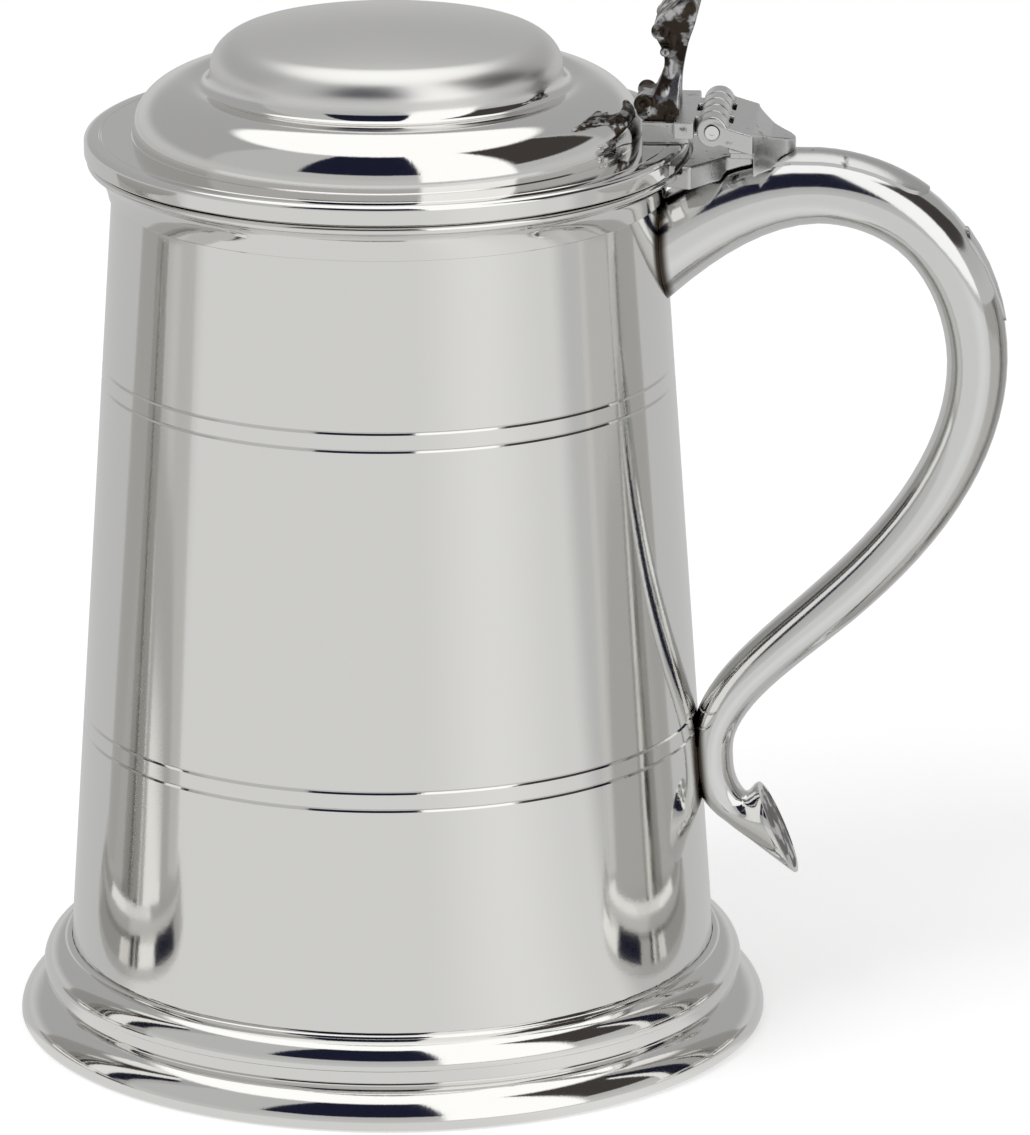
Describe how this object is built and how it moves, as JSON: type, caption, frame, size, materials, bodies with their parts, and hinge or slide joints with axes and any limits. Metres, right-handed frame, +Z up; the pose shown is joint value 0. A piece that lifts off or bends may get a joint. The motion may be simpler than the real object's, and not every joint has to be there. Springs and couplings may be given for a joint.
{
  "type": "lidded tankard",
  "caption": "Polished pewter tankard with a tapering drum, moulded foot, scroll handle and a domed lid on a knuckle hinge with a tall thumbpiece.",
  "frame": {"origin": "centre of the foot's resting ring, on the plane that the tankard stands on", "axes": "+Z up along the drum's axis; +X from the drum's axis towards the handle; the hinge pin lies along Y"},
  "size_m": [0.1373, 0.104, 0.1476],
  "materials": {
    "pewter": "polished, near mirror, slightly warm grey",
    "pin_metal": "polished ends, plain shaft"
  },
  "bodies": {
    "vessel": {"drum": "pewter", "floor_disc": "pewter", "foot_moulding": "pewter", "rim_moulding": "pewter", "handle": "pewter", "hinge_bracket": "pewter", "handle_hinge_leaf": "pewter", "hinge_pin": "pin_metal"},
    "lid": {"lid_cover": "pewter", "lid_bezel": "pewter", "lid_hinge_leaf": "pewter", "thumbpiece": "pewter"}
  },
  "joints": [
    {"name": "lid_hinge", "type": "hinge", "parent": "vessel", "child": "lid", "pos_m": [0.045, 0, 0.1291], "axis": [0, 1, 0], "range_deg": [0, 104]}
  ]
}
